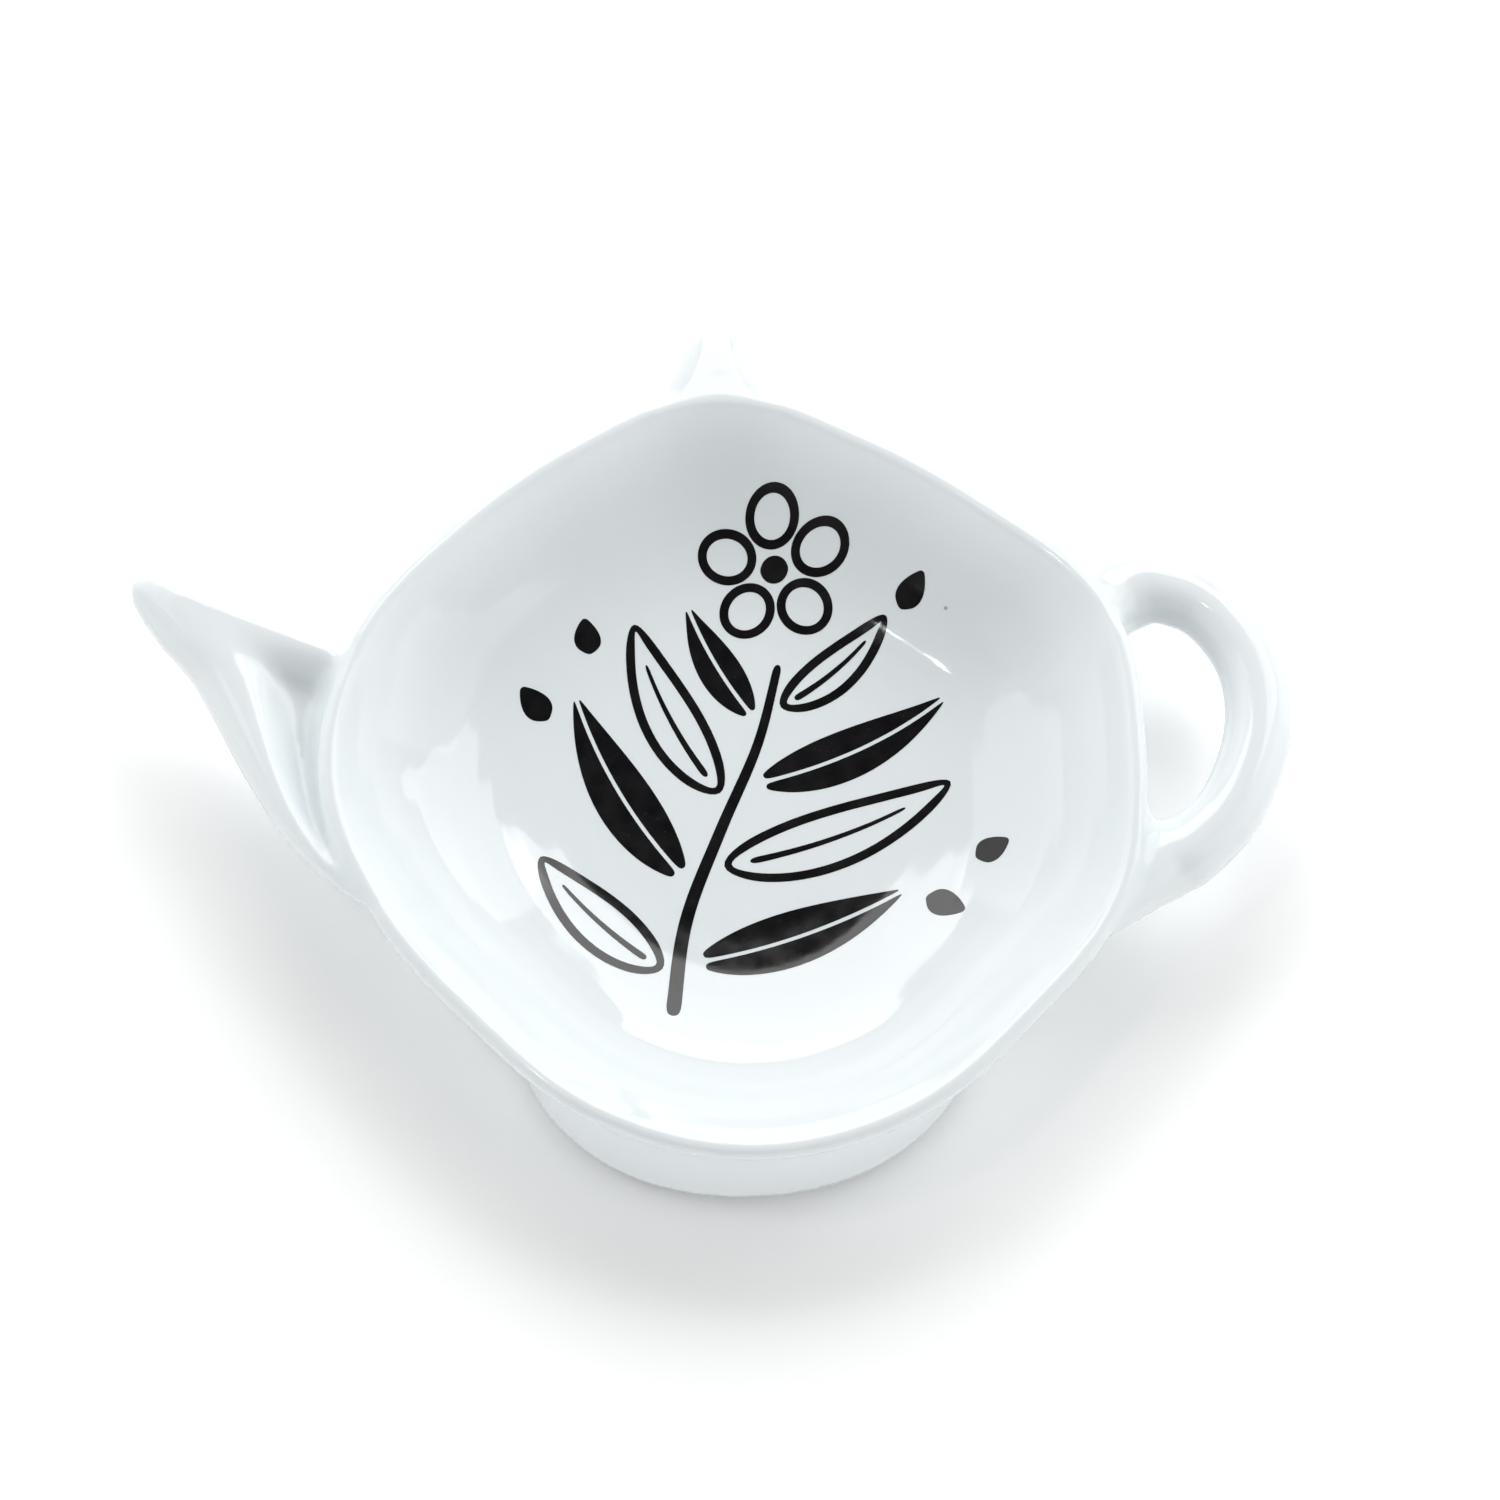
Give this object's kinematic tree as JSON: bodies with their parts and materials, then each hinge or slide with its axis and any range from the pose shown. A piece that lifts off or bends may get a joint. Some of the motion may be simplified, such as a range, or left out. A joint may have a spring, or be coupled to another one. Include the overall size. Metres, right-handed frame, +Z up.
{
  "type": "tea bag rest",
  "caption": "Shallow glazed dish in a teapot outline that lies flat, with a hollow spout, loop handle, lid knob, foot ring and a printed sprig; holds a used tea bag.",
  "frame": {"origin": "middle of the whole outline in plan, on the table", "axes": "+X from the spout to the handle, +Y from the pot's base to the lid knob, +Z up out of the well"},
  "size_m": [0.118, 0.0938, 0.016],
  "materials": {
    "glaze": "gloss",
    "biscuit": "matt",
    "print": "gloss"
  },
  "bodies": {
    "root": {"dish": "glaze", "foot_ring": "biscuit", "pot_base": "glaze", "spout": "glaze", "handle": "glaze", "lid_knob": "glaze", "print_stem": "print", "print_solid_leaves": "print", "print_outline_leaves": "print", "print_blossom": "print", "print_buds": "print"}
  },
  "joints": []
}
